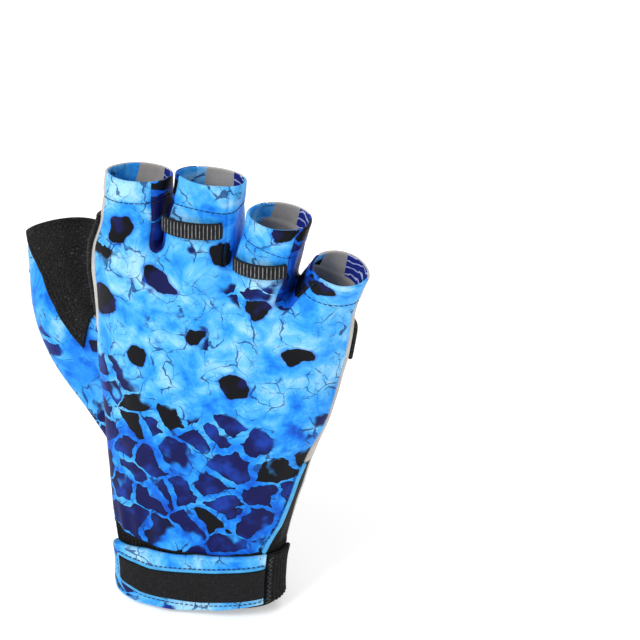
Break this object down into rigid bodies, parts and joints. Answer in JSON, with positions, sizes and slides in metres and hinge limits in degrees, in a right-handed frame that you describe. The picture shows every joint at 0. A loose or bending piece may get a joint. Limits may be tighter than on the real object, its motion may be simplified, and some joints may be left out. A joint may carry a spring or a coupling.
{
  "type": "fishing glove",
  "caption": "Half-finger fishing glove for a right hand: printed back, suede palm with grip patches, knit cuff and a wrist strap.",
  "frame": {"origin": "centre of the wrist opening, in the plane of the cuff's lower edge", "axes": "+Z from the wrist towards the fingers, -Y the way the back of the hand faces, -X towards the thumb"},
  "size_m": [0.1396, 0.0783, 0.1782],
  "materials": {
    "printed_fabric": "stretch fabric with a mottled blue, black and pale print, faint sheen",
    "suede": "pale warm grey suede, matte",
    "grip_patch": "black pebbled grip material, matte",
    "black_knit": "black ribbed knit, matte",
    "black_fabric": "plain black fabric, matte",
    "binding": "pale blue folded binding, satin"
  },
  "bodies": {
    "root": {"back_panel": "printed_fabric", "palm_panel": "suede", "fourchette_index_middle": "printed_fabric", "fourchette_middle_ring": "printed_fabric", "fourchette_ring_little": "printed_fabric", "band_patch": "grip_patch", "heel_patch": "grip_patch", "index_side_patch": "grip_patch", "thumb_patch": "grip_patch", "cuff_band": "black_knit", "slit_flap": "black_fabric", "slit_binding": "binding", "strap_tab": "printed_fabric", "strap_plate": "black_fabric", "strap_elastic": "black_knit", "pull_loop_middle": "black_knit", "pull_loop_ring": "black_knit"}
  },
  "joints": []
}
